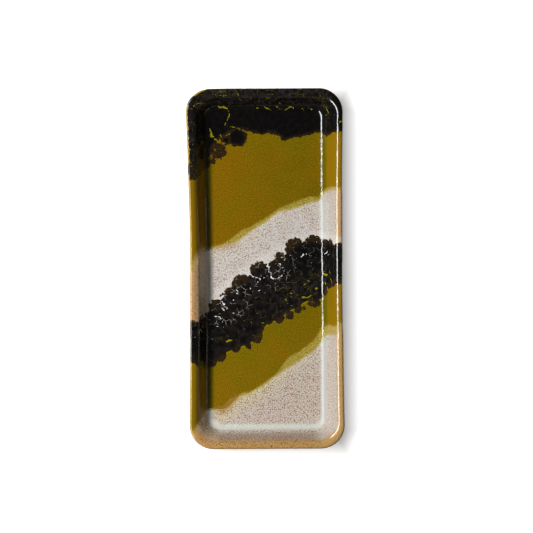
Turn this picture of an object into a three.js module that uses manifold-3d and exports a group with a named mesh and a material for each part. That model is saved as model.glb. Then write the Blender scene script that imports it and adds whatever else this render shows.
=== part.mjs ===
// Glazed stoneware serving dish: a pressed clay body on a foot ring, a base coat of olive glaze, and
// bands of white and black glaze poured across the base coat.
// Millimetres, +Z up, +Y along the dish. The origin is on the table, under the middle of the dish.

import * as THREE from "three";
import { mergeVertices } from "three/addons/utils/BufferGeometryUtils.js";
import Module from "manifold-3d";

const wasm = await Module();
wasm.setup();

// Driving dimensions of the dish, measured over the glaze
const dishLength = 220;
const dishWidth = 93.2;
const wellDepth = 12;
const wallLean = THREE.MathUtils.degToRad(26);
const rimInnerRadius = 5.6;
const rimOuterRadius = 1.3;
const wellFillet = 6;
const rimCornerRadius = 15;
const wellCornerRadius = 5.5;

// Driving dimensions of the floor and the foot
const floorThickness = 4.6;
const heelRadius = 4;
const footHeight = 1.4;
const footWidth = 5;
const footSetBack = 2.5;

// The long walls spread towards the ends as the dish dried, and one corner flared out further
const sideSpread = 1.1;
const cornerFlare = 1.4;
const flareLength = 77;
const flarePower = 1.3;

// Glaze coats, the hairline between a coat and what it is fused to, and the seam between two bands
const baseCoat = 0.4;
const bandCoat = 0.25;
const bondGap = 0.05;
const bandSeam = 0.3;
const bareHeel = 1.5;
const bandStop = 2;

// Facets
const cornerSteps = 6;
const sideSteps = 6;
const rimSteps = 7;
const filletSteps = 5;
const heelSteps = 4;
const bandSteps = 20;

// Where each poured band starts and ends along the dish: five places across it, from the left rim, the
// left edge of the well, the middle and the right edge of the well to the right rim
const blackUpperFoot = [54, 64, 82, 83, 83];
const whiteUpperHead = [8, 11, 29, 44, 50];
const blackMiddleHead = [-31, -20, 6, 19, 16];
const blackMiddleFoot = [-57, -59, -34, -21, -9];
const whiteLowerHead = [-101, -84, -67, -47, -37];

// Levels of the main surfaces, and how deep each coat lies under the outermost glaze
const floorLevel = footHeight + floorThickness;
const rimLevel = floorLevel + wellDepth;
const baseCoatDepth = bandCoat + bondGap;
const clayDepth = baseCoatDepth + baseCoat + bondGap;

// Section of the wall, as the inset from the rim's outline and the height. The inner face leans, and its
// normal points into the well and up. It rolls into the top of the rim in a slow curve, and the rim drops
// outside in a tight one
const faceNormal = new THREE.Vector2(Math.cos(wallLean), Math.sin(wallLean));
const faceDown = new THREE.Vector2(Math.sin(wallLean), -Math.cos(wallLean));
const innerLip = new THREE.Vector2(rimOuterRadius, rimLevel - rimInnerRadius);
const outerLip = new THREE.Vector2(rimOuterRadius, rimLevel - rimOuterRadius);
const filletCentre = tangentCentre(
  innerLip.clone().addScaledVector(faceNormal, rimInnerRadius + wellFillet),
  floorLevel + wellFillet,
);
const wellInset = filletCentre.x;

// Slides a point down the lean of the wall until it reaches a level
function tangentCentre(start, level) {
  return start.clone().addScaledVector(faceDown, (level - start.y) / faceDown.y);
}

// Points of an arc in the section, from one angle to another
function sectionArc(centre, radius, fromAngle, toAngle, steps) {
  const clockwise = toAngle < fromAngle;
  const arc = new THREE.EllipseCurve(
    centre.x, centre.y, radius, radius, fromAngle, toAngle, clockwise,
  );
  return arc.getPoints(steps);
}

// Centre of the heel's round, which rolls the clay's outer face into the underside
function heelCentre() {
  const clayFace = outerLip.clone().addScaledVector(faceNormal, clayDepth - rimOuterRadius);
  const roundCentre = clayFace.addScaledVector(faceNormal, heelRadius);
  return tangentCentre(roundCentre, footHeight + heelRadius);
}

const heel = heelCentre();
const glazeLine = heel.y - heelRadius * faceNormal.y + bareHeel;
const bandLine = glazeLine + bandStop;

// The surface that lies a given depth under the outermost glaze, from the edge of the well's floor up the
// wall, over the rim and down the outer face through some levels
function skinSection(depth, outerLevels) {
  const fillet = sectionArc(
    filletCentre, wellFillet + depth, -Math.PI / 2, -Math.PI + wallLean, filletSteps,
  );
  const inner = sectionArc(innerLip, rimInnerRadius - depth, wallLean, Math.PI / 2, rimSteps);
  const outer = sectionArc(
    outerLip, rimOuterRadius - depth, Math.PI / 2, Math.PI + wallLean, rimSteps,
  );
  const face = outerLevels.map((level) => tangentCentre(outer[rimSteps], level));
  return [...fillet, ...inner, ...outer.slice(1), ...face];
}

// Corner radius of the outline at an inset: it tightens from the rim to the edge of the well's floor
function cornerRadiusAt(inset) {
  const share = Math.min(inset / wellInset, 1);
  return THREE.MathUtils.lerp(rimCornerRadius, wellCornerRadius, share);
}

// Leans the long walls outwards towards the ends, and the far left corner further, from nothing at the
// floor to the full amount at the rim
function warped(x, y, z) {
  const cornerStart = dishLength / 2 - rimCornerRadius;
  const along = THREE.MathUtils.clamp((y - cornerStart + flareLength) / flareLength, 0, 1);
  const across = x / (dishWidth / 2);
  const up = THREE.MathUtils.clamp((z - floorLevel) / (outerLip.y - floorLevel), 0, 1);
  const spread = sideSpread * (y / (dishLength / 2)) ** 2 * across;
  const flare = cornerFlare * along ** flarePower * Math.min(across, 0);
  return new THREE.Vector3(x + (spread + flare) * up, y, z);
}

// One outline of the dish, a rounded rectangle at an inset and a height, anticlockwise from above
function outlineRing({ x: inset, y: level }) {
  const radius = cornerRadiusAt(inset);
  const cornerX = dishWidth / 2 - inset - radius;
  const cornerY = dishLength / 2 - inset - radius;
  const outline = new THREE.Path();
  outline.absarc(cornerX, cornerY, radius, 0, Math.PI / 2);
  outline.absarc(-cornerX, cornerY, radius, Math.PI / 2, Math.PI);
  outline.absarc(-cornerX, -cornerY, radius, Math.PI, 1.5 * Math.PI);
  outline.absarc(cornerX, -cornerY, radius, 1.5 * Math.PI, 2 * Math.PI);
  outline.closePath();
  return outline.curves.flatMap((curve) => {
    const steps = curve.isLineCurve ? sideSteps : cornerSteps;
    return curve.getPoints(steps).slice(0, steps).map((p) => warped(p.x, p.y, level));
  });
}

// Closed surface through a row of outlines, with a flat face in the first one and in the last one. Past the
// fold it runs back under itself, and its facets are split the other way, so that both sides lie parallel
function loft(section, fold = section.length) {
  const rings = section.map(outlineRing);
  const count = rings[0].length;
  const triangles = [];
  for (let k = 0; k + 1 < rings.length; k++) {
    for (let j = 0; j < count; j++) {
      const next = (j + 1) % count;
      const [a, b] = [k * count + j, (k + 1) * count + j];
      const [c, d] = [(k + 1) * count + next, k * count + next];
      triangles.push(...(k < fold ? [a, b, c, a, c, d] : [a, b, d, b, c, d]));
    }
  }
  const lastStart = (rings.length - 1) * count;
  for (const [a, b, c] of THREE.ShapeUtils.triangulateShape(rings[0], [])) {
    triangles.push(a, b, c);
  }
  for (const [a, b, c] of THREE.ShapeUtils.triangulateShape(rings[rings.length - 1], [])) {
    triangles.push(lastStart + c, lastStart + b, lastStart + a);
  }
  const geometry = new THREE.BufferGeometry().setFromPoints(rings.flat());
  return geometry.setIndex(triangles);
}

// A coat of glaze over the whole dish, between two depths, ending at the last level on the outer face
function coat(topDepth, bottomDepth, outerLevels) {
  const top = skinSection(topDepth, outerLevels);
  const bottom = skinSection(bottomDepth, outerLevels);
  return loft([...top, ...bottom.reverse()], top.length);
}

// The clay: its skin under the base coat, the heel, the underside and the foot ring
function clayBody() {
  const skin = skinSection(clayDepth, [bandLine, glazeLine]);
  const heelRound = sectionArc(heel, heelRadius, Math.PI + wallLean, 1.5 * Math.PI, heelSteps);
  const footOutside = heel.x + footSetBack;
  const footInside = footOutside + footWidth;
  return loft([
    ...skin,
    ...heelRound,
    new THREE.Vector2(footOutside, footHeight),
    new THREE.Vector2(footOutside, 0),
    new THREE.Vector2(footInside, 0),
    new THREE.Vector2(footInside, footHeight),
  ]);
}

// The base coat, which every band lies on
function baseGlaze() {
  return coat(baseCoatDepth, baseCoatDepth + baseCoat, [bandLine, glazeLine]);
}

// Closed surface as a solid that can be cut, and back
function toSolid(geometry) {
  const bare = geometry.clone();
  bare.deleteAttribute("normal");
  bare.deleteAttribute("uv");
  const merged = mergeVertices(bare);
  return new wasm.Manifold(new wasm.Mesh({
    numProp: 3,
    vertProperties: new Float32Array(merged.getAttribute("position").array),
    triVerts: new Uint32Array(merged.index.array),
  }));
}

function toGeometry(solid) {
  const mesh = solid.getMesh();
  const positions = new THREE.BufferAttribute(new Float32Array(mesh.vertProperties), mesh.numProp);
  const geometry = new THREE.BufferGeometry().setAttribute("position", positions);
  return geometry.setIndex(new THREE.BufferAttribute(new Uint32Array(mesh.triVerts), 1));
}

// Edge of a band seen from above, from past the left rim to past the right rim, moved along the dish
function bandEdge(places, shift) {
  const pastRim = dishWidth / 2 + 2 * sideSpread + cornerFlare;
  const wellEdge = dishWidth / 2 - wellInset;
  const across = [-pastRim, -wellEdge, 0, wellEdge, pastRim];
  const stations = across.map((x, i) => new THREE.Vector2(x, places[i] + shift));
  return new THREE.SplineCurve(stations).getPoints(bandSteps);
}

// A poured band: the part of the outer coat between two edges, half a seam short of each
function pouredBand(head, foot) {
  const outline = [
    ...bandEdge(foot, bandSeam / 2),
    ...bandEdge(head, -bandSeam / 2).reverse(),
  ];
  const column = new THREE.ExtrudeGeometry(new THREE.Shape(outline), {
    depth: 2 * rimLevel,
    bevelEnabled: false,
  });
  column.translate(0, 0, -rimLevel / 2);
  const outerCoat = toSolid(coat(0, bandCoat, [bandLine]));
  return toGeometry(outerCoat.intersect(toSolid(column)));
}

const pastFarEnd = Array(5).fill(dishLength / 2 + rimCornerRadius);
const pastNearEnd = pastFarEnd.map((y) => -y);

const clay = new THREE.MeshStandardMaterial({ color: 0xb9a083, roughness: 0.85 });
const oliveGlaze = new THREE.MeshStandardMaterial({ color: 0x7c6005, roughness: 0.2 });
const whiteGlaze = new THREE.MeshStandardMaterial({ color: 0xc2b8ad, roughness: 0.25 });
const blackGlaze = new THREE.MeshStandardMaterial({ color: 0x151311, roughness: 0.12 });

const pieces = [
  ["stoneware_body", clayBody(), clay],
  ["olive_base_glaze", baseGlaze(), oliveGlaze],
  ["black_glaze_upper", pouredBand(pastFarEnd, blackUpperFoot), blackGlaze],
  ["white_glaze_upper", pouredBand(whiteUpperHead, blackMiddleHead), whiteGlaze],
  ["black_glaze_middle", pouredBand(blackMiddleHead, blackMiddleFoot), blackGlaze],
  ["white_glaze_lower", pouredBand(whiteLowerHead, pastNearEnd), whiteGlaze],
];

const dish = new THREE.Group();
dish.name = "dish";
dish.position.x = cornerFlare / 2;
for (const [name, geometry, material] of pieces) {
  geometry.computeVertexNormals();
  const piece = new THREE.Mesh(geometry, material);
  piece.name = name;
  dish.add(piece);
}

export default dish;
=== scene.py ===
import math
from functools import partial
from types import SimpleNamespace

import bmesh
import bpy
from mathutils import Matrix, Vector, noise


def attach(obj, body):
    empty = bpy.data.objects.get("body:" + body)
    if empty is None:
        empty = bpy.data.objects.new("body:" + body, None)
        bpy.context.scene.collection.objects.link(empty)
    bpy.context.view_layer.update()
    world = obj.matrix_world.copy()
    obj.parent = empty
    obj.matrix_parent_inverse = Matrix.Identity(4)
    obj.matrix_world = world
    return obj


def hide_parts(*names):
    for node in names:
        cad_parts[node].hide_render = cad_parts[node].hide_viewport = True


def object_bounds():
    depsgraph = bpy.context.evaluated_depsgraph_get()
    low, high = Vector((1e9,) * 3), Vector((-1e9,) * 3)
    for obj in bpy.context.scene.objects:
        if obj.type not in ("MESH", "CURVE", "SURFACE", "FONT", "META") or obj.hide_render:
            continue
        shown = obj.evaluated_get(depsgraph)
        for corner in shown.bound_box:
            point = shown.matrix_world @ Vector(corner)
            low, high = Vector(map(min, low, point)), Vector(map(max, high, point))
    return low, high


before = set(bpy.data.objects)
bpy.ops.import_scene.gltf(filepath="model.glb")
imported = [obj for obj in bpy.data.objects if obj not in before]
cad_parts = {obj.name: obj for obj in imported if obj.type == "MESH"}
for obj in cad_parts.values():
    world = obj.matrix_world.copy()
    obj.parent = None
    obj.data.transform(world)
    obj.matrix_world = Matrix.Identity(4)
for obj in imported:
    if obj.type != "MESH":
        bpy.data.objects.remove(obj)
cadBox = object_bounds()
print("frame loaded:", len(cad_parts), "CAD nodes")

mm = 0.001


# Small helpers

def clamp(value, low=0.0, high=1.0):
    return max(low, min(high, value))


def ease(low, high, value):  # 0 at low, 1 at high, smooth between
    share = clamp((value - low) / (high - low))
    return share * share * (3 - 2 * share)


def hump(value, centre, width):  # 1 at the centre, fading to both sides
    return math.exp(-((value - centre) / width) ** 2)


# The dish's shape over its glaze, in millimetres, with the same values as the CAD

dish = SimpleNamespace(
    length=220.0,
    width=93.2,
    wellDepth=12.0,
    lean=math.radians(26),
    fillet=6.0,
    rimInner=5.6,            # the rim's slow curve inside and its tight one outside
    rimOuter=1.3,
    rimCorner=15.0,
    wellCorner=5.5,
    floor=4.6,
    heel=4.0,
    foot=1.4,
    footWidth=5.0,
    footSetBack=2.5,
    footRound=0.5,
    footBevel=0.15,
    spread=1.1,              # how far the long walls lean out towards the ends
    flare=1.4,
    flareLength=77.0,
    flarePower=1.3,
    bareHeel=1.5,
    bandStop=2.0,
    wobble=0.16,             # how far hand finishing leaves the faces from true
    wobbleSize=42.0,
    wobbleLift=0.6,          # share of it that goes up and down
    turn=math.radians(0.35),
)

lean = dish.lean
inward, upward = math.cos(lean), math.sin(lean)      # normal of the inner face
floorLevel = dish.foot + dish.floor
rimLevel = floorLevel + dish.wellDepth
innerLip = rimLevel - dish.rimInner                  # heights of the centres of the rim's rounds
outerLip = rimLevel - dish.rimOuter
filletHeight = floorLevel + dish.fillet
faceInset = dish.rimOuter + inward * (dish.rimInner + dish.fillet)
faceHeight = innerLip + upward * (dish.rimInner + dish.fillet)
wellInset = faceInset + (faceHeight - filletHeight) * math.tan(lean)

# Lengths along the section, from the edge of the floor up, over the rim and down the outer face
filletRun = dish.fillet * (math.pi / 2 - lean)
wallTop = innerLip + upward * dish.rimInner
wallFoot = filletHeight - upward * dish.fillet
wallRun = (wallTop - wallFoot) / math.cos(lean)
innerRun = dish.rimInner * (math.pi / 2 - lean)
outerRun = dish.rimOuter * (math.pi / 2 + lean)
rimTopWay = filletRun + wallRun + innerRun
outerStart = outerLip - upward * dish.rimOuter

coats = SimpleNamespace(     # thickness of each layer, from the outermost in
    band=0.25,
    base=0.4,
    bond=0.05,
    proud=0.02,              # how far a band's edge stands proud of what it lies on
    crease=math.radians(50),    # a sharper edge is not shaded smooth
)
oliveDepth = coats.band + coats.bond
clayDepth = oliveDepth + coats.base + coats.bond

heelLevel = dish.foot + dish.heel
heelStart = dish.rimOuter + inward * (clayDepth - dish.rimOuter + dish.heel)
heelFrom = outerLip + upward * (clayDepth - dish.rimOuter + dish.heel)
heelInset = heelStart + (heelFrom - heelLevel) * math.tan(lean)
glazeLine = heelLevel - dish.heel * upward + dish.bareHeel
bandLine = glazeLine + dish.bandStop
glazeWay = rimTopWay + outerRun + (outerStart - glazeLine) / math.cos(lean)
bandWay = rimTopWay + outerRun + (outerStart - bandLine) / math.cos(lean)


def sectionAt(way):  # inset, level and tilt of the face's normal
    if way <= filletRun:
        tilt = math.pi / 2 - way / dish.fillet
        inset = wellInset - dish.fillet * math.cos(tilt)
        return inset, filletHeight - dish.fillet * math.sin(tilt), tilt
    way -= filletRun
    if way <= wallRun:
        inset = wellInset - dish.fillet * inward - way * math.sin(lean)
        return inset, wallFoot + way * math.cos(lean), lean
    way -= wallRun
    if way <= innerRun:
        tilt = lean + way / dish.rimInner
        inset = dish.rimOuter + dish.rimInner * math.cos(tilt)
        return inset, innerLip + dish.rimInner * math.sin(tilt), tilt
    way -= innerRun
    if way <= outerRun:
        tilt = math.pi / 2 + way / dish.rimOuter
        inset = dish.rimOuter * (1 + math.cos(tilt))
        return inset, outerLip + dish.rimOuter * math.sin(tilt), tilt
    way -= outerRun
    inset = dish.rimOuter * (1 - inward) + way * math.sin(lean)
    return inset, outerStart - way * math.cos(lean), math.pi + lean


def cornerAt(inset):  # the corners tighten from the rim to the floor
    share = min(inset / wellInset, 1.0)
    return dish.rimCorner + (dish.wellCorner - dish.rimCorner) * share


def sideAt(share, halfRun, halfOut, corner):  # one side with half of each corner
    straight = halfRun - corner
    reach = share * (straight + corner * math.pi / 4)
    turn = max(0.0, (abs(reach) - straight) / corner)
    if turn == 0.0:
        return halfOut, reach, 1.0, 0.0
    out = halfOut - corner + corner * math.cos(turn)
    along = math.copysign(straight + corner * math.sin(turn), share)
    return out, along, math.cos(turn), math.copysign(math.sin(turn), share)


def outlineAt(across, along, inset):  # point and outward direction on a rounded outline
    halfX, halfY = dish.width / 2 - inset, dish.length / 2 - inset
    corner = cornerAt(inset)
    if abs(across) >= abs(along):
        out, run, outDir, runDir = sideAt(along, halfY, halfX, corner)
        side = math.copysign(1.0, across)
        return side * out, run, side * outDir, runDir
    out, run, outDir, runDir = sideAt(across, halfX, halfY, corner)
    side = math.copysign(1.0, along)
    return run, side * out, runDir, side * outDir


def placed(x, y, z):  # spread walls, flared far left corner, hand-made wobble, and the frame's origin
    cornerStart = dish.length / 2 - dish.rimCorner
    along = clamp((y - cornerStart + dish.flareLength) / dish.flareLength)
    across = x / (dish.width / 2)
    up = clamp((z - floorLevel) / (outerLip - floorLevel))
    spread = dish.spread * (y / (dish.length / 2)) ** 2 * across
    flare = dish.flare * along ** dish.flarePower * min(across, 0.0)
    x += dish.flare / 2 + (spread + flare) * up
    lift = noise.noise(Vector((x, y, 7.0)) / dish.wobbleSize)
    sway = noise.noise(Vector((y, 31.0, z)) / dish.wobbleSize)
    rise = ease(0.5, floorLevel, z)                 # the foot stays flat on the table
    lift *= dish.wobble * dish.wobbleLift * rise
    return Vector((x + dish.wobble * sway, y, z + lift)) * mm


# The skin that every coat of glaze is cut from

flow = SimpleNamespace(      # how the glaze ran in the kiln, in millimetres along the section
    thinStart=rimTopWay - 3.0,    # where it turns thin, earlier at the near end and later on the right
    thinNear=1.4,
    thinRight=0.1,
    thinRise=(1.4, 1.2),     # before that line and past it, over which it turns
    thinEnd=(13.0, 5.0),     # past the rim's top, where it is thick again and where that begins
    poolAt=0.5,              # share of the fillet at which it pools, less at the near end
    poolNear=0.22,
    poolWidth=2.6,
    insideEnd=(4.0, 2.0),    # past the rim's top, where the looks of the inside end and fade
    easeReach=5.0,           # from the floor's edge, where its cells are eased into the round corners
    easePasses=8,
)
reachX = dish.width / 2 - wellInset - dish.wellCorner * (1 - math.pi / 4)
reachY = dish.length / 2 - wellInset - dish.wellCorner * (1 - math.pi / 4)


def coatLayers(bm):  # the marks that a skin's points carry
    return SimpleNamespace(**dict(bm.verts.layers.float.items() + bm.verts.layers.float_vector.items()))


def pointsOf(geom):
    return [g for g in geom if isinstance(g, bmesh.types.BMVert)]


def nextRing(bm, edge):  # draws an open edge out, and gives the new open edge and its points
    out = bmesh.ops.extrude_edge_only(bm, edges=edge)["geom"]
    return [g for g in out if isinstance(g, bmesh.types.BMEdge) and g.is_boundary], pointsOf(out)


def skinVertex(v, at, way):  # puts a vertex of the wall on its ring
    inset, level, tilt = sectionAt(way)
    x, y, outX, outY = outlineAt(v[at.across], v[at.along], inset)
    flat = way - wellInset + inset                  # how much further out it lies when laid out flat
    v.co = (x, y, level)
    v[at.way] = way
    v[at.plan] = (x, y, level)
    v[at.unfold] = (x + outX * flat, y + outY * flat, 0.0)
    v[at.up] = (-math.cos(tilt) * outX, -math.cos(tilt) * outY, math.sin(tilt))


def glazeSkin(spacing, lastWay):
    bm = bmesh.new()
    for name in ("across", "along", "way", "coat", "rim", "pool", "fringe", "halo", "thin", "scorch",
                 "crack", "pale", "moss"):
        bm.verts.layers.float.new(name)
    for name in ("plan", "unfold", "up"):
        bm.verts.layers.float_vector.new(name)
    at = coatLayers(bm)
    bmesh.ops.create_grid(bm, x_segments=round(2 * reachX / spacing),
                          y_segments=round(2 * reachY / spacing), size=1.0)
    halfX, halfY = dish.width / 2 - wellInset, dish.length / 2 - wellInset
    inner = []
    for v in bm.verts:
        v[at.across], v[at.along] = v.co.x, v.co.y
        if v.is_boundary:
            skinVertex(v, at, 0.0)
        else:
            v.co = (v.co.x * reachX, v.co.y * reachY, floorLevel)
            inner.append(v)
    easeX, easeY = reachX - flow.easeReach, reachY - flow.easeReach
    nearEdge = [v for v in inner if abs(v.co.x) > easeX or abs(v.co.y) > easeY]
    for _ in range(flow.easePasses):
        bmesh.ops.smooth_vert(bm, verts=nearEdge, factor=0.5, use_axis_x=True, use_axis_y=True)
    for v in inner:
        v[at.way] = max(abs(v.co.x) - halfX, abs(v.co.y) - halfY)
        v[at.plan] = v.co
        v[at.unfold] = (v.co.x, v.co.y, 0.0)
        v[at.up] = (0.0, 0.0, 1.0)
    rings = math.ceil(lastWay / spacing)
    edge = [e for e in bm.edges if e.is_boundary]
    for ring in range(1, rings + 1):
        edge, points = nextRing(bm, edge)
        for v in points:
            skinVertex(v, at, lastWay * ring / rings)
    for v in bm.verts:
        way = v[at.way]
        x, y, _ = v[at.plan]
        start = (flow.thinStart + flow.thinRight * ease(36.0, 42.0, x)
                 - flow.thinNear * ease(-96.0, -102.0, y))
        thin = ease(start - flow.thinRise[0], start + flow.thinRise[1], way)
        v[at.rim] = thin * ease(*(rimTopWay + past for past in flow.thinEnd), way)
        pool = filletRun * (flow.poolAt - flow.poolNear * ease(-91.0, -96.0, y))
        v[at.pool] = hump(way, pool, flow.poolWidth)
    return bm


def onInside(way):  # 1 inside the dish, nothing on its outer face
    return ease(*(rimTopWay + past for past in flow.insideEnd), way)


# Where the poured bands start and end: points across the dish and along it, in millimetres

bandEdges = {
    "blackUpperFoot": [(-48, 54), (-42, 56), (-37, 62), (-32, 76), (-25, 82), (-17, 85.5), (-10, 84),
                       (-3, 82.4), (3, 83.3), (12, 79.6), (17, 80.5), (25, 81.8), (33, 84), (37, 81.5),
                       (40, 83.2), (48, 82.5)],
    "whiteUpperHead": [(-48, -3), (-45, 1), (-42.5, 7), (-40, 10.5), (-34, 12.2), (-26, 14.9), (-18, 17.3),
                       (-13, 21.3), (-6, 26), (0.6, 30.6), (7.4, 35.4), (14, 37), (21, 38.8), (27.6, 41.4),
                       (32.3, 42.4), (34.5, 45.5), (36.5, 47.6), (41, 48.6), (48, 48.8)],
    "blackMiddleHead": [(-48, -32), (-40, -28.5), (-34, -22), (-22, -10), (-12, -2.5), (-6, 3.5),
                        (8, 8.5), (18, 17), (26, 19), (37, 18), (48, 15)],
    "blackMiddleFoot": [(-48, -54), (-42, -57.5), (-37, -59.5), (-33, -58.5), (-26, -54), (-17, -50),
                        (-10, -48), (-3, -39), (9, -31.5), (26, -21.5), (34, -20.5), (38, -12), (48, -8)],
    "whiteLowerHead": [(-48, -104), (-44, -100), (-40, -93), (-36, -86.4), (-31, -86.4), (-26, -86.3),
                       (-21.5, -83.1), (-15.4, -77.7), (-10.5, -76.2), (-7, -74), (0.8, -69.4), (8, -63.9),
                       (14.3, -59.8), (24, -53.4), (30, -49), (33.8, -43.8), (37.3, -39.6), (41, -39.8),
                       (45, -37.5), (48, -36.5)],
}


def edgeAt(points, x):  # height of a band's edge and its slope, on a smooth curve through the points
    x = clamp(x, points[0][0], points[-1][0])
    k = next((i for i in range(1, len(points) - 1) if x <= points[i][0]), len(points) - 1)
    (x0, y0), (x1, y1) = points[k - 1], points[k]
    before = points[max(k - 2, 0)]
    after = points[min(k + 1, len(points) - 1)]
    span = x1 - x0
    slope0 = (y1 - before[1]) / (x1 - before[0])
    slope1 = (after[1] - y0) / (after[0] - x0)
    t = (x - x0) / span
    y = ((2 * t ** 3 - 3 * t ** 2 + 1) * y0 + (t ** 3 - 2 * t ** 2 + t) * span * slope0
         + (3 * t ** 2 - 2 * t ** 3) * y1 + (t ** 3 - t ** 2) * span * slope1)
    return y, slope0 * (1 - t) + slope1 * t


def asSeen(place):  # the bands are laid out as the camera sees them, with the dish a little turned
    return place[0] - place[1] * dish.turn, place[1] + place[0] * dish.turn


def pastEdge(name, plan):  # distance beyond an edge, towards the far end of the dish
    x, y = asSeen(plan)
    level, slope = edgeAt(bandEdges[name], x)
    return (y - level) / math.hypot(1.0, slope)


def wave(unfold, size, seed):
    return noise.noise(Vector((unfold[0] / size, unfold[1] / size, seed)))


white = SimpleNamespace(
    thick=0.2,
    feather=4.0,             # mm over which an edge thins out
    stray=0.5,               # how far an edge strays from its line in long waves, and in short ones
    straySize=9.0,
    fray=0.2,
    fraySize=2.5,
    under=1.0,               # mm that the upper band runs on past the middle of the black, and its stray
    underStray=2.0,
    underSize=8.0,
)


def whiteStray(unfold, seed):
    return (white.stray * wave(unfold, white.straySize, seed)
            + white.fray * wave(unfold, white.fraySize, seed + 1))


def whiteUpperDepth(plan, unfold):  # how far inside the upper white band, which runs on under the black
    head = whiteStray(unfold, 3.0) - pastEdge("whiteUpperHead", plan)
    middle = (pastEdge("blackMiddleHead", plan) + pastEdge("blackMiddleFoot", plan)) / 2
    return min(head, middle + white.underStray * wave(unfold, white.underSize, 5.0) + white.under)


def whiteLowerDepth(plan, unfold):
    return whiteStray(unfold, 13.0) - pastEdge("whiteLowerHead", plan)


def whiteLift(depth):
    return white.thick * ease(0.0, white.feather, depth)


olive = SimpleNamespace(
    spacing=1.0,             # mm between the points of its mesh
    pool=0.05,               # how much thicker it lies in the fillet, and where in it
    poolAt=0.6,
    ragged=0.5,              # how far the veils' edges stray
    raggedSize=6.0,
    veilEdge=0.6,            # half the width over which a veil of white stops on the olive
    veilAbove=[(3.0, -17.0, 5.0), (0.9, -5.0, 5.0), (2.4, 22.0, 9.5)],    # reach, place and width
    haloRim=0.85,            # how much of the halo round the black the rim loses
)


def oliveLift(way):
    return -oliveDepth + olive.pool * hump(way, filletRun * olive.poolAt, flow.poolWidth)


def baseLift(v, at):  # what a black band lies on
    plan, unfold = v[at.plan], v[at.unfold]
    depth = max(whiteUpperDepth(plan, unfold), whiteLowerDepth(plan, unfold))
    return oliveLift(v[at.way]) + whiteLift(depth)


# Crawled glaze: in the kiln it draws up into round pads with fingered edges, which pull apart in thin
# cracks. Pads, cracks and holes are in millimetres on the glaze laid out flat

black = SimpleNamespace(
    thick=0.08,
    round=1.6,               # mm over which a pad's edge is rounded
    core=2.4,                # mm inside the middle band's head where it is whole, and inside its foot
    coreFoot=1.5,
    solid=3.0,
    sway=0.9,                # how far pads and cracks stray from true
    swaySize=2.6,
    swayFine=0.45,           # share of it in shorter waves, and how many times shorter
    swayShorter=2.5,
    seam=0.48,               # how wide the seam round the inside of a pad opens
    seamSize=5.0,
    fingerPlace=(0.2, 0.6),  # first place of a finger in its stretch of the edge, and how far it strays
    tipRound=0.4,
    cleftHalf=0.12,          # half a cleft's width, and how fast it closes inwards
    cleftClose=1.5,
    cleftLeast=0.3,          # shortest cleft, as a share of the longest
    streakClose=0.4,
    crackNear=3.0,           # mm round a crack in which it is worked out
    gapeFine=0.6,            # share of its width that a fine crack opens to, and a wide one
    gapeWide=0.85,
    crackWide=0.28,          # half width from which a crack is wide
    crackFar=50.0,           # mm along the dish from which all are wide
    crackSway=0.8,
    crackSwaySize=1.7,
    overRim=1.8,             # mm past the rim's top where it stops, less on the left
    overLeft=1.6,
    stopFray=1.2,
    stopSize=3.0,
    run=9.0,                 # longest run down the outer face
    runSize=11.0,
    spacing=0.5,
    cutMargin=0.03,          # least share of a mesh edge that a cut leaves
)
middleHead = SimpleNamespace(
    out=(-0.45, 0.89),       # the way its pads face
    finger=1.3,              # mm across a finger of a pad's edge
    cleft=1.9,               # longest cleft between two fingers
    ragged=0.12,
    pads=[(-50, -36, 5.0), (-42, -33.2, 5.2), (-36, -30.5, 4.4), (-30.9, -23.4, 5.2),
          (-27.4, -16.2, 1.3), (-21.9, -15.4, 4.5), (-15.6, -9.6, 6.3), (-4.4, -0.9, 5.9),
          (6.0, -0.2, 5.8), (8.4, 7.2, 3.5), (17.5, 12.8, 6.7), (28.3, 14.6, 6.3), (35.5, 14.2, 5.0),
          (42, 13, 5.2), (50, 11.5, 5.0)],
)
middleFoot = SimpleNamespace(
    out=(0.45, -0.89),
    finger=1.7,
    cleft=0.8,
    ragged=0.1,
    pads=[(-50, -54.5, 3.6), (-45, -56.6, 4.0), (-39, -57.4, 3.8), (-33.8, -57, 4.0),
          (-28.4, -53.4, 4.4), (-23.5, -48.4, 2.3), (-19.2, -48.4, 3.5), (-10.7, -48.7, 1.9),
          (-12.5, -44.5, 3.4), (-6.5, -41.4, 4.9), (-4, -36.3, 3.2), (1.7, -31.9, 2.6), (8, -30.7, 3.4),
          (14.4, -28.8, 2.8), (19.4, -25.3, 2.8), (23.2, -24, 1.4), (29.5, -20.5, 4.1), (35.5, -14, 3.2),
          (41, -9.5, 3.4), (45, -8.5, 3.2), (50, -6.5, 3.4)],
)
upperFoot = SimpleNamespace(
    out=(0.3, -0.95),
    finger=1.3,
    cleft=1.8,
    ragged=0.12,
    pads=[(-50, 58.2, 4.8), (-45, 60.5, 5.0), (-39, 65, 5.0), (-32.8, 66.6, 2.6), (-29.6, 72.4, 5.6),
          (-17.9, 80.8, 6.5), (-25, 79, 3.6), (11.5, 82, 3.6)],
)
upperBand = SimpleNamespace(
    fray=0.8,                # how far its foot frays, in short waves and long ones
    fraySizes=(1.3, 4.0),
    solid=6.0,
    brown=0.85,              # how thin the two brown pads are, then its left end and its edge
    worn=0.7,
    edge=0.8,
    edgeWidth=2.4,
    web=(0.05, 1.15),        # how much of the fine cracks shows on the floor, and more on the wall
)
middleBand = SimpleNamespace(
    fray=0.7,
    fraySize=2.0,
    edge=0.8,                # how thin it is at its edges, and in the streaks inside its clefts
    edgeWidth=5.5,
    streak=0.9,
    streakHalf=0.45,
    web=(0.9, 0.6),          # how much of the fine cracks shows, and less at both ends
    webWhite=(1.0, -0.7),    # share of that over the white, and its change to the right
    webOlive=(0.6, 0.5),
)
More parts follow.
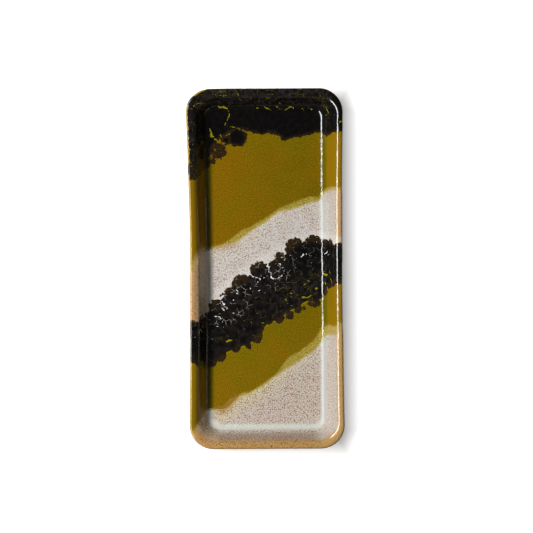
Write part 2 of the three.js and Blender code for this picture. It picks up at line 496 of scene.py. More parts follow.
brownPads = upperFoot.pads[3:5]    # these two ran thin, and the olive shows through
crackLines = [                        # half width first, then the places along the crack
    (0.22, (-23, 98), (-23, 92.8), (-25.5, 88.4), (-21.7, 87.1), (-15.4, 85.9), (-11.6, 83.3)),
    (0.5, (-34.7, 85.2), (-33.5, 81.4), (-30, 78.3), (-25.5, 76.6)),
    (0.36, (-28.4, 82.4), (-28, 82)),
    (0.29, (-23, 83), (-22.6, 82.6)),
    (0.5, (-32, 73.6), (-31.3, 72.6)),
    (0.22, (-27.3, 115), (-26.9, 112), (-26.5, 109.5), (-25.5, 107.5)),
    (0.18, (-26.9, 112.5), (-24.5, 114), (-23, 112.5), (-24.5, 111)),
    (0.18, (-16.7, 114), (-16.2, 110.5), (-16.4, 107.5), (-15, 106.5)),
    (0.22, (36.5, 102), (38.5, 99), (39.5, 95.6), (37, 94)),
    (0.36, (53.5, 90), (50, 89.5)),
    (0.32, (-29, 99.4), (-26, 98.6), (-23.5, 98)),
    (0.3, (0.7, 4.4), (1.7, -0.9), (4.2, -6.3), (9.3, -5)),
    (0.15, (4.2, -6.3), (6.1, -10.4)),
    (0.15, (8.6, 2.3), (11.5, -0.9), (9.3, -5)),
    (0.22, (-10.4, -3.8), (-7.2, -5.3), (-4, -6.6), (-6.6, -10.4), (-10.4, -12.9)),
    (0.2, (-4, -6.6), (-0.2, -5)),
    (0.2, (-28.7, -23.1), (-25.5, -26.5), (-23, -28.4)),
    (0.22, (-23.3, -23.7), (-25.5, -26.5)),
    (0.2, (-31.9, -29.4), (-28.7, -30.3), (-26.8, -33.8), (-26.5, -40.2)),
    (0.18, (-22.4, -20.5), (-19.2, -19.3)),
    (0.3, (21.9, -17.4), (24.5, -18), (27.6, -16.4)),
    (0.6, (-24.3, -44.6), (-21.1, -44.3)),
    (0.5, (30.6, -12.5), (31.2, -12.1)),
    (0.45, (-9.3, -33.4), (-8.8, -33)),
    (0.36, (14.9, -14.4), (15.9, -15)),
    (0.36, (11.8, -19), (12.7, -19.5)),
    (0.32, (18.9, -15.8), (19.8, -16.5)),
    (0.36, (-2.9, -33), (-2, -33.4)),
    (0.34, (25.8, -6.8), (26.6, -7.6)),
    (0.2, (22.6, -10.4), (27.6, -7.9)),
    (0.3, (40.4, 0.2), (42, -5), (43.8, -9.9)),
    (0.3, (35, -3.6), (38.1, -4.1)),
    (0.25, (45, -4.2), (51.5, -4.9)),
    (0.4, (36.6, -8.6), (37.2, -10)),
    (0.32, (-28.8, 100.4), (-23.3, 98.1)),
    (0.14, (-20.8, 100.3), (-15.5, 100.6)),
    (0.22, (-6, 98.5), (-4, 98.2)),
    (0.29, (-1.6, 98.9), (2.8, 97.7)),
    (0.22, (6.2, 99.4), (9.2, 97.7)),
    (0.29, (11.6, 97.7), (14.3, 99.3), (17, 98.3)),
    (0.22, (21.4, 98.3), (23.7, 97.5)),
    (0.29, (25.7, 98.6), (28.1, 97.3)),
    (0.22, (0.5, 106.3), (1.8, 105.1)),
    (0.25, (6.2, 104), (8.9, 101.9)),
    (0.25, (13, 102.9), (13.6, 102.6)),
    (0.22, (18.3, 102.8), (20.3, 102.3)),
    (0.25, (-9.3, 107.9), (-8.9, 107.5)),
    (0.29, (-51, 96.3), (-46.4, 102.9), (-42, 104.2), (-37.7, 104)),
    (0.32, (-51.5, 76.7), (-48.3, 75)),
    (0.29, (-51.6, 72.6), (-50, 72.2)),
    (0.25, (-51, 62.6), (-49.5, 62)),
    (0.25, (-46.2, 59), (-45, 57.5)),
]


def chanceAt(i, j, seed):
    return noise.cell_vector(Vector((i + 0.5, j + 0.5, seed + 0.5)))


def padReach(u, v, edge, seed):  # how far inside an edge's pads, from the nearest rim, and from a cleft
    placeFrom, placeStray = black.fingerPlace
    best, rim, streak = -9.0, 9.0, 9.0
    for index, (x, y, radius) in enumerate(edge.pads):
        gap = math.hypot(u - x, v - y)
        if gap > radius + 1.0:
            continue
        rim = min(rim, abs(radius - gap))
        along = (u - x) * edge.out[0] + (v - y) * edge.out[1]
        aside = (u - x) * edge.out[1] - (v - y) * edge.out[0]
        arc = radius * math.atan2(aside, along) / edge.finger
        fingers = []
        for k in range(math.floor(arc) - 1, math.floor(arc) + 2):
            chance = chanceAt(k, index, seed)
            off = abs(arc - k - placeFrom - placeStray * chance[0]) * edge.finger
            fingers.append((off, chance))
        fingers.sort(key=lambda f: f[0])
        (off, chance), (nextOff, _) = fingers[:2]
        bend = black.tipRound * off * off / edge.finger
        tip = radius * (1 - edge.ragged * chance[1]) - gap - bend
        cleft = (nextOff - off) / 2
        length = black.cleftLeast + (1 - black.cleftLeast) * chance[2]
        inside = max(0.0, radius - edge.cleft * length - gap)
        reach = min(tip, cleft - black.cleftHalf + black.cleftClose * inside)
        if reach > best:
            best, streak = reach, cleft + black.streakClose * inside
    return best, rim, streak


def crackGap(u, v):  # how far outside the drawn cracks
    best, near = 9.0, black.crackNear
    for half, *places in crackLines:
        for (x0, y0), (x1, y1) in zip(places, places[1:]):
            if not min(x0, x1) - near < u < max(x0, x1) + near:
                continue
            if not min(y0, y1) - near < v < max(y0, y1) + near:
                continue
            dx, dy = x1 - x0, y1 - y0
            t = clamp(((u - x0) * dx + (v - y0) * dy) / (dx * dx + dy * dy))
            wide = v > black.crackFar or half > black.crackWide
            gape = black.gapeWide if wide else black.gapeFine
            sway = black.crackSway * noise.noise(Vector((u, v, 5.0)) / black.crackSwaySize)
            width = half * (gape + sway)
            best = min(best, math.hypot(u - x0 - t * dx, v - y0 - t * dy) - width)
    return best


def swayed(unfold, seed):
    size = black.swaySize
    short = size / black.swayShorter
    aside = [wave(unfold, size, seed + k) + black.swayFine * wave(unfold, short, seed + k + 0.2)
             for k in (0.0, 0.5)]
    u, v = asSeen(unfold)
    return u + black.sway * aside[0], v + black.sway * aside[1]


def rimBreak(unfold, way, seed):  # the black stops where the rim turns down outside, apart from some runs
    run = black.run * max(0.0, wave(unfold, black.runSize, seed + 1))
    reach = black.overRim - black.overLeft * ease(-26.0, -42.0, unfold[0])
    return rimTopWay + reach + black.stopFray * wave(unfold, black.stopSize, seed) + run - way


def blackUpperCoat(v, at):
    plan, unfold, way = v[at.plan], v[at.unfold], v[at.way]
    u, w = swayed(unfold, 20.0)
    depth = pastEdge("blackUpperFoot", plan)
    reach, _, _ = padReach(u, w, upperFoot, 21)
    fine, broad = upperBand.fraySizes
    whole = depth + upperBand.fray * wave(unfold, fine, 22.0) + upperBand.fray * wave(unfold, broad, 23.0)
    outer = max(min(whole, upperBand.solid), reach)
    within = max(ease(r + 0.5, r - 1.0, math.hypot(u - x, w - y)) for x, y, r in brownPads)
    worn = upperBand.worn * ease(68.0, 56.0, w) * ease(-36.0, -40.0, u)
    edge = upperBand.edge * ease(upperBand.edgeWidth, 0.0, outer)
    v[at.thin] = max(upperBand.brown * within, worn, edge)
    onFloor, onWall = upperBand.web
    v[at.crack] = onFloor + onWall * ease(4.0, 9.0, way) * ease(46.0, 36.0, u)
    return min(outer, crackGap(u, w), rimBreak(unfold, way, 27.0))


def blackMiddleCoat(v, at):
    plan, unfold, way = v[at.plan], v[at.unfold], v[at.way]
    u, w = swayed(unfold, 40.0)
    head, foot = -pastEdge("blackMiddleHead", plan), pastEdge("blackMiddleFoot", plan)
    whole = min(head - black.core, foot - black.coreFoot, black.solid)
    whole += middleBand.fray * wave(unfold, middleBand.fraySize, 44.0)
    upper, padRim, cleft = padReach(u, w, middleHead, 41)
    lower, _, _ = padReach(u, w, middleFoot, 42)
    outer = max(whole, upper, lower)
    streak = middleBand.streak * (ease(middleBand.streakHalf, 0.0, cleft) * ease(6.0, 2.0, head))
    edge = middleBand.edge * ease(middleBand.edgeWidth, 0.0, min(head, foot + 1.0))
    v[at.thin] = max(edge, streak)
    coat = outer
    if whole > 0:
        coat = min(coat, padRim - black.seam * wave(unfold, black.seamSize, 43.0))
    pale = ease(-1.0, 1.0, whiteUpperDepth(plan, unfold))
    v[at.pale] = pale
    left, change = middleBand.webWhite
    overWhite = left + change * ease(8.0, 22.0, u)
    left, change = middleBand.webOlive
    overOlive = left + change * ease(-5.0, 15.0, u)
    web, lost = middleBand.web
    web -= lost * ease(36.0, 44.0, abs(u))
    v[at.crack] = web * (overOlive + (overWhite - overOlive) * pale)
    return min(coat, crackGap(u, w), rimBreak(unfold, way, 47.0))


# Making the pieces

def newObject(bm, name, material):
    for v in bm.verts:
        v.co = placed(*v.co)
    mesh = bpy.data.meshes.new(name)
    bm.to_mesh(mesh)
    bm.free()
    mesh.shade_smooth()
    mesh.materials.append(material)
    piece = bpy.data.objects.new(name, mesh)
    bpy.context.scene.collection.objects.link(piece)
    print(name, len(mesh.polygons), "faces")
    return piece


def closeCoat(bm, topLift, bottomLift):  # gives a skin its underside, each at its own lift
    out = bmesh.ops.extrude_face_region(bm, geom=bm.faces[:], use_keep_orig=True)["geom"]
    at = coatLayers(bm)
    tops = set(pointsOf(out))
    for v in bm.verts:
        lift = topLift(v, at) if v in tops else bottomLift(v, at)
        v.co += v[at.up] * lift
    bmesh.ops.recalc_face_normals(bm, faces=bm.faces[:])
    for e in bm.edges:
        e.smooth = e.calc_face_angle(0.0) < coats.crease


def cutBand(skin, coatAt, reach):  # the part of a skin where a band's coat is above nothing
    bm = skin.copy()
    at = coatLayers(bm)
    coat = at.coat
    far = [v for v in bm.verts if not reach[0] < v[at.plan][1] < reach[1]]
    bmesh.ops.delete(bm, geom=far, context="VERTS")
    for v in bm.verts:
        v[coat] = coatAt(v, at)
    bare = [f for f in bm.faces if max(v[coat] for v in f.verts) <= 0]
    bmesh.ops.delete(bm, geom=bare, context="FACES")
    shares = {}
    for e in bm.edges:
        a, b = e.verts[0][coat], e.verts[1][coat]
        if (a > 0) != (b > 0):
            shares[e] = clamp(a / (a - b), black.cutMargin, 1 - black.cutMargin)
    out = bmesh.ops.subdivide_edges(bm, edges=list(shares), cuts=1, edge_percents=shares)
    for v in pointsOf(out["geom_inner"]):
        v[coat] = max(v[coat], 0.0)
    outside = [f for f in bm.faces if min(v[coat] for v in f.verts) < 0]
    bmesh.ops.delete(bm, geom=outside, context="FACES")
    loose = [v for v in bm.verts if not v.link_faces]
    bmesh.ops.delete(bm, geom=loose, context="VERTS")
    return bm


# Materials

soft = {"interpolation_type": "SMOOTHSTEP"}
times = {"operation": "MULTIPLY"}
timesPlus = {"operation": "MULTIPLY_ADD"}
minus = {"operation": "SUBTRACT"}
greater = {"operation": "MAXIMUM"}
mixed = {"data_type": "RGBA"}
planar = {"voronoi_dimensions": "2D"}


def linear(code):  # sRGB hex to linear colour
    parts = [int(code[i:i + 2], 16) / 255 for i in (1, 3, 5)]
    return [p / 12.92 if p <= 0.04045 else ((p + 0.055) / 1.055) ** 2.4 for p in parts] + [1.0]


def addNode(tree, kind, settings, inputs, output=None):  # inputs, in order or by name, are links or values
    item = tree.nodes.new("ShaderNode" + kind)
    for key, value in settings.items():
        setattr(item, key, value)
    for key, value in inputs.items() if isinstance(inputs, dict) else enumerate(inputs):
        if isinstance(value, bpy.types.NodeSocket):
            tree.links.new(value, item.inputs[key])
        else:
            item.inputs[key].default_value = value
    return item.outputs[output] if output else next(o for o in item.outputs if o.enabled)


def newMaterial(name, roughness, ior, marks=()):  # with what adds its nodes, and marks read from the mesh
    material = bpy.data.materials.new(name)
    material.use_nodes = True
    shader = material.node_tree.nodes["Principled BSDF"]
    shader.inputs["Roughness"].default_value = roughness
    shader.inputs["IOR"].default_value = ior
    add = partial(addNode, material.node_tree)
    read = [add("Attribute", {"attribute_name": mark}, [], "Vector" if mark == "unfold" else "Fac")
            for mark in marks]
    return material, shader, add, read


def finishSurface(shader, add, colour, tints, bump):  # lays the tints over the colour, then the fine relief
    for share, code in tints:
        colour = add("Mix", mixed, {0: share, 6: colour, 7: linear(code)})
    shader.id_data.links.new(colour, shader.inputs["Base Color"])
    shader.id_data.links.new(bump, shader.inputs["Normal"])


# Ash glaze, poured and fired to stoneware heat: glassy, olive where it lies flat, green where it pools
# and honey brown where it runs thin over the rim
def oliveAshGlaze():
    marks = ("unfold", "pool", "fringe", "halo", "scorch", "moss", "rim", "way")
    material, shader, add, read = newMaterial("olive ash glaze", 0.11, 1.52, marks)
    place, pooled, veil, halo, scorchAndShade, close, drawn, way = read
    across = add("SeparateXYZ", {}, [place], "X")
    right = add("MapRange", soft, [across, -34, 30])
    colour = add("Mix", mixed, {0: right, 6: linear("#835e02"), 7: linear("#6c5b01")})
    along = add("SeparateXYZ", {}, [place], "Y")
    near = add("MapRange", soft, [along, -20, -55, 0, 0.5])
    lumps = add("TexNoise", {}, {"Vector": place, "Scale": 1 / 13, "Detail": 3.0})
    cloud = add("MapRange", soft, [lumps, 0.4, 0.65, 0, 0.5])
    broad = add("TexNoise", {}, {"Vector": place, "Scale": 1 / 24})
    warm = add("MapRange", soft, [broad, 0.5, 0.66, 0, 0.4])
    cool = add("MapRange", soft, [broad, 0.48, 0.36, 0, 0.45])
    fineLumps = add("TexNoise", {}, {"Vector": place, "Scale": 1 / 0.75, "Detail": 1.0})
    brown = add("MapRange", soft, [fineLumps, 0.48, 0.72, 0, 0.8])
    green = add("MapRange", soft, [fineLumps, 0.52, 0.28, 0, 0.8])
    pool = add("MapRange", soft, [pooled, 0.2, 1, 0, 0.8])
    grain = add("TexNoise", {}, {"Vector": place, "Scale": 1 / 0.9, "Detail": 1.0})
    grainy = add("MapRange", {}, [grain, 0.3, 0.7, 0.1, 1.35])
    fringe = add("Math", times, [veil, grainy])
    scorch = add("Math", times, [scorchAndShade, grainy])
    moss = add("Math", times, [close, 0.55])
    rim = add("MapRange", soft, [drawn, 0, 1, 0, 0.65])
    inner = add("MapRange", soft, [way] + [rimTopWay + past for past in flow.insideEnd])
    risen = add("MapRange", soft, [way, 4, 8])
    steep = add("Math", times, [risen, inner])
    wall = add("Math", times, [steep, right])
    far = add("Math", times, [along, 0.02])
    runs = add("CombineXYZ", {}, {"X": way, "Y": far})
    drips = add("TexNoise", {}, {"Vector": runs, "Scale": 1 / 1.6, "Detail": 1.0})
    drip = add("MapRange", soft, [drips, 0.45, 0.65, 0, 0.45])
    streak = add("Math", times, [steep, drip])
    # the crest: a lighter honey where the glaze runs thin over the rim's top, kept to the left side that
    # faces the key, so it is partly a painted highlight
    top = add("MapRange", soft, [way, rimTopWay - 0.2, rimTopWay + 0.7, 0, 0.6])
    left = add("MapRange", soft, [across, -38, -44])
    brow = add("Math", times, [top, left])
    crestHoneyAndHighlight = add("Math", times, [brow, inner])
    film = add("Math", times, [steep, fringe])
    peel = add("TexNoise", {}, {"Vector": place, "Scale": 1 / 1.6})
    lumpy = add("MapRange", {}, [pooled, 0, 1, 0.3, 0.9])
    bump = add("Bump", {}, {"Height": peel, "Distance": 0.25 * mm, "Strength": lumpy})
    # the crest tint is partly a painted highlight on the left rim
    tints = [(near, "#876c0a"), (cloud, "#806402"), (warm, "#8a6004"), (cool, "#726504"), (moss, "#6f6800"),
             (brown, "#9a7208"), (green, "#605300"), (wall, "#886b04"), (streak, "#97680a"),
             (pool, "#5a5800"), (rim, "#927208"), (crestHoneyAndHighlight, "#bf9c3c"), (fringe, "#b9a84e"),
             (film, "#b89f68"), (scorch, "#9c6c30"), (halo, "#938a06")]
    finishSurface(shader, add, colour, tints, bump)
    return material


# Tin-white glaze over the olive: milky where it is thick, honey where the rim draws it thin, with the
# iron of the clay coming through as fine brown specks
def speckledWhiteGlaze():
    marks = ("unfold", "coat", "scorch", "pool", "way", "rim", "halo")
    material, shader, add, read = newMaterial("speckled tin white glaze", 0.38, 1.52, marks)
    place, coat, scorch, pooled, way, drawn, under = read
    along = add("SeparateXYZ", {}, [place], "Y")
    across = add("SeparateXYZ", {}, [place], "X")
    lumps = add("TexNoise", {}, {"Vector": place, "Scale": 1 / 8})
    cloud = add("MapRange", soft, [lumps, 0.4, 0.7])
    colour = add("Mix", mixed, {0: cloud, 6: linear("#d0cbc5"), 7: linear("#c8bdb1")})
    fineLumps = add("TexNoise", {}, {"Vector": place, "Scale": 1 / 0.65, "Detail": 1.0})
    iron = add("MapRange", soft, [fineLumps, 0.48, 0.7, 0, 1.1])
    milky = add("MapRange", soft, [fineLumps, 0.5, 0.28, 0, 0.95])
    left = add("MapRange", soft, [across, 28, -5, 0.08, 0.7])
    drained = add("MapRange", soft, [coat, 13, 0])
    veiled = add("Math", times, [drained, left])
    creamy = add("MapRange", soft, [along, -20, -55, 0.4, 1.4])
    thin = add("Math", times, [veiled, creamy])
    mottle = add("Math", timesPlus, [fineLumps, 1.0, -0.5])
    settled = add("Math", minus, [pooled, mottle])
    pool = add("MapRange", soft, [settled, 0.15, 1.0, 0, 0.95])
    inner = add("MapRange", soft, [way, rimTopWay + 5, rimTopWay + 2])
    risen = add("MapRange", soft, [way, 4, 11, 0, 0.85])
    steep = add("Math", times, [risen, inner])
    shaded = add("MapRange", soft, [across, 40, 22])
    wall = add("Math", times, [steep, shaded])
    # the right side, where the key falls strongest: there the wall and the fillet's pool are painted darker
    # than the glaze is, which is painted shade
    lit = add("MapRange", soft, [across, 27, 36])
    rightWall = add("Math", times, [steep, lit])
    rightPoolPaintedShade = add("Math", times, [pool, lit])
    # the left side: there the shaded inner wall and the fillet's pool are painted lighter than the glaze
    # is, which is painted light
    dark = add("MapRange", soft, [across, -27, -36])
    leftWallPaintedLight = add("Math", times, [steep, dark])
    leftPoolPaintedLight = add("Math", times, [pool, dark])
    worn = add("MapRange", soft, [fineLumps, 0.3, 0.55, 0.55, 0.95])
    rubbed = add("Math", times, [drawn, worn])
    honey = add("MapRange", soft, [along, -20, -50, 0.74])
    rim = add("Math", times, [rubbed, honey])
    # the rim's honey is the thin glaze; its right and left copies are toned apart for how the key lights
    # each side, so they are partly painted light and shade
    right = add("MapRange", soft, [across, 0, 44])
    rightRim = add("Math", times, [rim, right])
    leftRim = add("Math", times, [rim, dark])
    # the rim's outer round, darkened on the near and right sides, which turn from the key: painted shade,
    # not burning
    turned = add("MapRange", soft, [way, rimTopWay - 0.1, rimTopWay + 1.5])
    away = add("MapRange", soft, [across, -44, -30, 0, 0.8])
    scorchAndShade = add("Math", times, [turned, away])
    brinkShade = add("Math", times, [scorchAndShade, inner])
    near = add("MapRange", soft, [along, -35, -75, 0.78, 0.88])
    sandy = add("MapRange", soft, [along, -30, -60, 0, 0.7])
    calm = add("MapRange", {}, [rightWall, 0, 1, 1.0, 0.35])
    freckled = add("Math", times, [near, calm])
    dusty = add("Math", times, [iron, freckled])
    dots = {"Vector": place, "Scale": 1 / 1.2}      # specks a little over life size, so that they show
    spot = add("TexVoronoi", planar, dots)
    tone = add("TexVoronoi", planar, dots, "Color")
    chance = add("SeparateColor", {}, [tone], "Red")
    size = add("MapRange", {}, [chance, 0.3, 1, 0, 0.46])
    inside = add("Math", minus, [size, spot])
    dot = add("MapRange", soft, [inside, 0.0, 0.18])
    sunk = add("MapRange", {}, [pooled, 0.2, 0.9, 1.0, 0.25])
    shown = add("Math", times, [freckled, sunk])
    speck = add("Math", times, [dot, shown])
    grain = add("TexNoise", {}, {"Vector": place, "Scale": 1 / 0.8, "Detail": 1.0})
    frayed = add("Math", timesPlus, [grain, 3.4, -1.7])
    ragged = add("Math", {"operation": "ADD"}, [coat, frayed])
    edge = add("MapRange", soft, [ragged, 1.5, 0.2])
    peel = add("TexNoise", {}, {"Vector": place, "Scale": 1 / 1.4})
    bump = add("Bump", {}, {"Height": peel, "Strength": 0.3, "Distance": 0.15 * mm})
    shine = add("MapRange", soft, [drawn, 0, 1, 0.38, 0.17])
    shader.id_data.links.new(shine, shader.inputs["Roughness"])
    # of these tints, the lighter left wall and left pool are painted light, the darker right wall, right
    # pool and brink are painted shade, and the side rims are partly painted light and shade
    tints = [(sandy, "#c3b29f"), (thin, "#d0c294"), (scorch, "#a46e3a"), (wall, "#a2835f"),
             (leftWallPaintedLight, "#f4d6a6"), (rightWall, "#b4a89c"), (milky, "#e0e3e3"), (rim, "#c09242"),
             (rightRim, "#c09a58"), (leftRim, "#c6965a"), (brinkShade, "#6a4a1a"), (dusty, "#966a46"),
             (pool, "#d4d6cd"), (leftPoolPaintedLight, "#f4f4e8"), (rightPoolPaintedShade, "#b0b2ac"), (speck, "#74482a"),
             (under, "#eae8e4"), (edge, "#a8963c")]
    finishSurface(shader, add, colour, tints, bump)
    return material


# Black crawl glaze: it draws together in the kiln into glassy pads, brown at their thin edges
def blackCrawlGlaze():
    marks = ("unfold", "crack", "thin", "pale")
    material, shader, add, read = newMaterial("black crawl glaze", 0.11, 1.52, marks)
    place, crack, drawn, pale = read
    lumps = add("TexNoise", {}, {"Vector": place, "Scale": 1 / 3.2})
    cloud = add("MapRange", soft, [lumps, 0.26, 0.8])
    loose = add("Math", timesPlus, [crack, 0.8, 0.1])
    milky = add("Math", times, [cloud, loose])
    colour = add("Mix", mixed, {0: milky, 6: linear("#080707"), 7: linear("#2c2725")})
    fineLumps = add("TexNoise", {}, {"Vector": place, "Scale": 1 / 1.2})
    patchy = add("MapRange", soft, [fineLumps, 0.65, 0.35, 0.3])
    thin = add("Math", times, [drawn, patchy])
    stray = add("TexNoise", {}, {"Vector": place, "Scale": 1 / 2.2}, "Color")
    strayed = add("VectorMath", timesPlus, {0: stray, 1: (1.5, 1.5, 0.0), 2: place})
    web = add("TexVoronoi", {**planar, "feature": "DISTANCE_TO_EDGE"},
              {"Vector": strayed, "Scale": 1 / 3.4})
    hair = add("MapRange", soft, [web, 0.035, 0.005, 0, 0.5])
    broken = add("TexNoise", {}, {"Vector": place, "Scale": 1 / 5})
    patch = add("MapRange", soft, [broken, 0.5, 0.6])
    line = add("Math", times, [hair, patch])
    poured = add("Mapping", {}, {"Vector": strayed, "Rotation": (0.0, 0.0, -0.45),
                                 "Scale": (0.35, 1.0, 1.0)})
    dashes = {"Vector": poured, "Scale": 1 / 2.2}
    dash = add("TexVoronoi", planar, dashes)
    tone = add("TexVoronoi", planar, dashes, "Color")
    chance = add("SeparateColor", {}, [tone], "Red")
    size = add("MapRange", {}, [chance, 0.72, 1, 0, 0.13])
    inside = add("Math", minus, [size, dash])
    fleck = add("MapRange", soft, [inside, 0.0, 0.06])
    either = add("Math", greater, [line, fleck])
    bare = add("Math", times, [either, crack])
    barePale = add("Math", times, [bare, pale])
    peel = add("TexNoise", {}, {"Vector": place, "Scale": 1 / 1.1})
    bump = add("Bump", {}, {"Height": peel, "Strength": 0.15, "Distance": 0.15 * mm})
    tints = [(thin, "#3e2c12"), (bare, "#857c08"), (barePale, "#e2e2e0")]
    finishSurface(shader, add, colour, tints, bump)
    return material


# Bisque stoneware, pressed and fired bare: sandy, matt, with fine dark grog
def bisqueStoneware():
    material, shader, add, _ = newMaterial("bisque stoneware", 0.85, 1.5)
    place = add("TexCoord", {}, [], "Object")
    lumps = add("TexNoise", {}, {"Vector": place, "Scale": 1 / (14 * mm), "Detail": 3.0})
    cloud = add("MapRange", soft, [lumps, 0.35, 0.7])
    colour = add("Mix", mixed, {0: cloud, 6: linear("#c2a98a"), 7: linear("#b0936f")})
    grit = add("TexVoronoi", {}, {"Vector": place, "Scale": 1 / (1.6 * mm)})
    speck = add("MapRange", soft, [grit, 0.24, 0.1, 0, 0.5])
    sand = add("TexNoise", {}, {"Vector": place, "Scale": 1 / (0.7 * mm)})
    bump = add("Bump", {}, {"Height": sand, "Strength": 0.4, "Distance": 0.1 * mm})
    finishSurface(shader, add, colour, [(speck, "#6f573e")], bump)
    return material


oliveGlaze = oliveAshGlaze()
whiteGlaze = speckledWhiteGlaze()
blackGlaze = blackCrawlGlaze()
bareClay = bisqueStoneware()
print("materials made")


# The clay body: its skin under the glaze, then the heel, the underside and the foot ring

clay = SimpleNamespace(
    spacing=2.4,
    heelSteps=6,
    underEdge=6.0,           # mm of flat underside round the inside of the foot ring, before it is filled
)


def clayBody():
    bm = glazeSkin(clay.spacing, glazeWay)
    at = coatLayers(bm)
    for v in bm.verts:
        v.co -= v[at.up] * clayDepth
    footOut = heelInset + dish.footSetBack
    footIn = footOut + dish.footWidth
    bend, bevel, under = dish.footRound, dish.footBevel, dish.foot
    rings = []
    for step in range(clay.heelSteps + 1):
        turn = math.pi + lean + (math.pi / 2 - lean) * step / clay.heelSteps
        rings.append((heelInset + dish.heel * math.cos(turn), heelLevel + dish.heel * math.sin(turn)))
    rings += [(footOut - bend, under), (footOut, under - bend), (footOut, bend), (footOut + bevel, bevel),
              (footOut + bend, 0.0), (footIn - bend, 0.0), (footIn - bevel, bevel), (footIn, bend),
              (footIn, under - bend), (footIn + bend, under), (footIn + clay.underEdge, under)]
    edge = [e for e in bm.edges if e.is_boundary]
    for inset, level in rings:
        edge, points = nextRing(bm, edge)
        for v in points:
            x, y, _, _ = outlineAt(v[at.across], v[at.along], inset)
            v.co = (x, y, level)
    bmesh.ops.edgeloop_fill(bm, edges=edge)
    bmesh.ops.recalc_face_normals(bm, faces=bm.faces[:])
    return newObject(bm, "clay_body", bareClay)


# The base coat

def oliveCoat():
    bm = glazeSkin(olive.spacing, glazeWay)
    at = coatLayers(bm)
    for v in bm.verts:
        plan, unfold = v[at.plan], v[at.unfold]
        x = unfold[0]
        ragged = olive.ragged * wave(unfold, olive.raggedSize, 71.0)
        above = -whiteUpperDepth(plan, unfold) + ragged
        below = -whiteLowerDepth(plan, unfold) + ragged
        veilAbove = 0.8 + sum(reach * hump(x, mid, width) for reach, mid, width in olive.veilAbove)
        veilBelow = 0.3 + 3.9 * ease(4.0, 15.0, x) + 2.4 * hump(x, -24.0, 4.5)
        share = (0.7 + 0.15 * ease(0.0, 15.0, x)) * (0.4 + 0.6 * ease(-30.0, -18.0, x))
        stop = olive.veilEdge
        v[at.fringe] = max(0.85 * ease(veilAbove + stop, veilAbove - stop, above),
                           share * ease(veilBelow + stop, veilBelow - stop, below))
        under = max(pastEdge("blackUpperFoot", plan),
                    min(-pastEdge("blackMiddleHead", plan), pastEdge("blackMiddleFoot", plan)))
        v[at.halo] = ease(0.3, 2.0, under) * (1 - olive.haloRim * v[at.rim]) * onInside(v[at.way])
        v[at.moss] = ease(-16.0, 0.0, under)
        v[at.scorch] = (ease(3.6, 0.6, below) * ease(-2.0, 0.0, below) * ease(-33.0, -28.0, x)
                        * ease(-16.0, -22.0, x))
    closeCoat(bm, lambda v, at: oliveLift(v[at.way]), lambda v, at: -clayDepth - coats.bond)
    return newObject(bm, "olive_coat", oliveGlaze)


# The poured bands

def whiteCoat(skin, name, depthAt, reach):
    bm = cutBand(skin, lambda v, at: depthAt(v[at.plan], v[at.unfold]), reach)
    at = coatLayers(bm)
    for v in bm.verts:
        x = v[at.unfold][0]
        under = -pastEdge("blackMiddleHead", v[at.plan])
        clean = 0.3 * ease(-6.0, -1.0, under) + 0.7 * ease(1.0, 4.0, under)
        v[at.halo] = clean * ease(-44.0, -37.0, x) * onInside(v[at.way]) * (reach[1] > 0)
        v[at.scorch] = 0.8 * hump(x, -26.0, 8.0) * ease(5.0, 1.0, v[at.coat])

    def top(v, at):
        return oliveLift(v[at.way]) + coats.proud + whiteLift(v[at.coat])

    closeCoat(bm, top, lambda v, at: oliveLift(v[at.way]) - coats.bond)
    return newObject(bm, name, whiteGlaze)


def blackCoat(skin, name, coatAt, reach):
    bm = cutBand(skin, coatAt, reach)

    def top(v, at):
        swell = black.thick * ease(0.0, black.round, v[at.coat])
        return baseLift(v, at) + coats.proud + swell

    closeCoat(bm, top, lambda v, at: baseLift(v, at) - coats.bond)
    return newObject(bm, name, blackGlaze)


bandSkin = glazeSkin(black.spacing, bandWay)
print("band skin", len(bandSkin.verts), "points")
pieces = [                   # the pair of numbers is the stretch of the dish that holds a band, in mm
    (clayBody(), "stoneware_body", "clay"),
    (oliveCoat(), "olive_base_glaze", "olive_glaze"),
    (blackCoat(bandSkin, "black_coat_upper", blackUpperCoat, (40, 120)),
     "black_glaze_upper", "black_glaze"),
    (whiteCoat(bandSkin, "white_coat_upper", whiteUpperDepth, (-70, 60)),
     "white_glaze_upper", "white_glaze"),
    (blackCoat(bandSkin, "black_coat_middle", blackMiddleCoat, (-75, 30)),
     "black_glaze_middle", "black_glaze"),
    (whiteCoat(bandSkin, "white_coat_lower", whiteLowerDepth, (-120, -25)),
     "white_glaze_lower", "white_glaze"),
]
bandSkin.free()
for piece, node, slot in pieces:
    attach(piece, "root")
    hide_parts(node)
print("pieces made:", len(pieces))


# Floor, light and camera

studio = SimpleNamespace(
    floorSize=4.0,           # metres each way from the dish
    floorColour="#f4f4f2",
    glowReach=0.0146,        # metres over which the floor's glow for the camera rises to white; less glow near the dish paints a shade round it
    glowRun={"X": (0.0, 1.0, 0.0048), "Y": (0.0033, 0.55, 0.0062)},    # its shift, rate and start; the slow rise along the dish, shifted to the near end, paints a faint shade there
    glowMirrored=0.45,       # share of the glow that the glaze mirrors, over the light that falls there
    skyLow=0.07,             # the room's light, darker right over the dish
    skyTop=0.035,
    skyHeights=(0.55, 0.88),
)
key = SimpleNamespace(turn=176, rise=50.2, away=0.9, size=(1.0, 0.14), watts=11.3)    # degrees and metres

floorMesh = bpy.data.meshes.new("floor")
bm = bmesh.new()
bmesh.ops.create_grid(bm, x_segments=1, y_segments=1, size=studio.floorSize)
bm.to_mesh(floorMesh)
bm.free()
floor = bpy.data.objects.new("floor", floorMesh)
bpy.context.scene.collection.objects.link(floor)
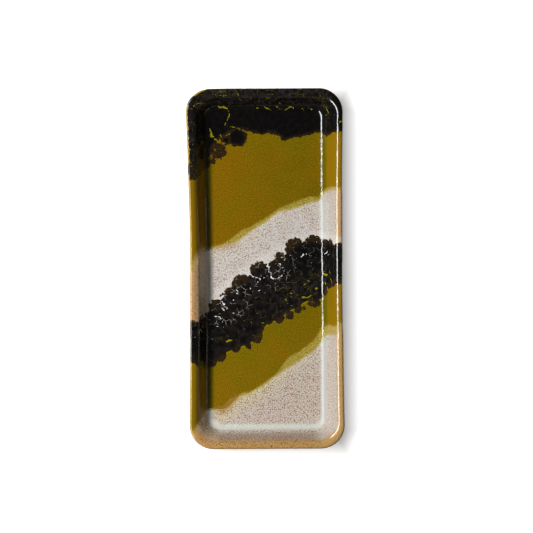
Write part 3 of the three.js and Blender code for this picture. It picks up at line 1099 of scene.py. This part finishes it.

# White paper, uncoated: matt, and white but for the shadow and a painted shade round the dish
paper, paperShader, addPaper, _ = newMaterial("white paper sweep", 0.9, 1.5)
paperShader.inputs["Base Color"].default_value = linear(studio.floorColour)
paperShader.inputs["Specular IOR Level"].default_value = 0.0
paperShader.inputs["Emission Color"].default_value = linear("#ffffff")
seen = addPaper("LightPath", {}, [], "Is Camera Ray")
for ray in ("Is Glossy Ray", "Is Transmission Ray"):
    other = addPaper("LightPath", {}, [], ray)
    dimmed = addPaper("Math", times, [other, studio.glowMirrored])
    seen = addPaper("Math", greater, [seen, dimmed])
paperPlace = addPaper("TexCoord", {}, [], "Object")
# the glow is held back near the dish, so a grey band round it, deepest by its right side and near end, is
# painted shade, with the real shadow kept in it
outside = []
for axis, half in zip("XY", cadBox[1]):                  # how far outside the dish, to each side
    run = addPaper("SeparateXYZ", {}, [paperPlace], axis)
    shift, rate, start = studio.glowRun[axis]
    moved = addPaper("Math", {"operation": "ADD"}, [run, shift])
    reach = addPaper("Math", {"operation": "ABSOLUTE"}, [moved])
    outside.append(addPaper("Math", timesPlus, [reach, rate, start - rate * half]))
away = addPaper("Math", greater, [outside[0], outside[1]])
level = addPaper("MapRange", {}, [away, 0.0, studio.glowReach])
glow = addPaper("Math", times, [seen, level])
paper.node_tree.links.new(glow, paperShader.inputs["Emission Strength"])
floorMesh.materials.append(paper)

keyTurn, keyRise = math.radians(key.turn), math.radians(key.rise)
keyData = bpy.data.lights.new("key", "AREA")
keyData.shape = "RECTANGLE"
keyData.size, keyData.size_y = key.size
keyData.energy = key.watts
lamp = bpy.data.objects.new("key", keyData)
lamp.location = (key.away * math.cos(keyRise) * math.cos(keyTurn),
                 key.away * math.cos(keyRise) * math.sin(keyTurn), key.away * math.sin(keyRise))
lamp.rotation_euler = (-lamp.location).to_track_quat("-Z", "Y").to_euler()
bpy.context.scene.collection.objects.link(lamp)

world = bpy.data.worlds.new("studio")
world.use_nodes = True
addSky = partial(addNode, world.node_tree)
skyFrom, skyTo = studio.skyHeights
sky = addSky("TexCoord", {}, [], "Generated")
rise = addSky("SeparateXYZ", {}, [sky], "Z")
skyLight = addSky("MapRange", soft, [rise, skyFrom, skyTo, studio.skyLow, studio.skyTop])
background = world.node_tree.nodes["Background"]
background.inputs["Color"].default_value = linear("#ffffff")
world.node_tree.links.new(skyLight, background.inputs["Strength"])
bpy.context.scene.world = world

# Metres, but the sensor, x and y in millimetres
view = SimpleNamespace(away=1.0, frame=0.3246, sensor=36.0, x=0.9, y=1.25)
cameraData = bpy.data.cameras.new("camera")
cameraData.sensor_width = view.sensor
cameraData.lens = view.sensor * view.away / view.frame
camera = bpy.data.objects.new("camera", cameraData)
camera.location = (view.x * mm, view.y * mm, outerLip * mm + view.away)
camera.rotation_euler = (0.0, 0.0, -dish.turn)
bpy.context.scene.collection.objects.link(camera)
bpy.context.scene.camera = camera
bpy.context.scene.view_settings.view_transform = "Standard"
print("stage set")
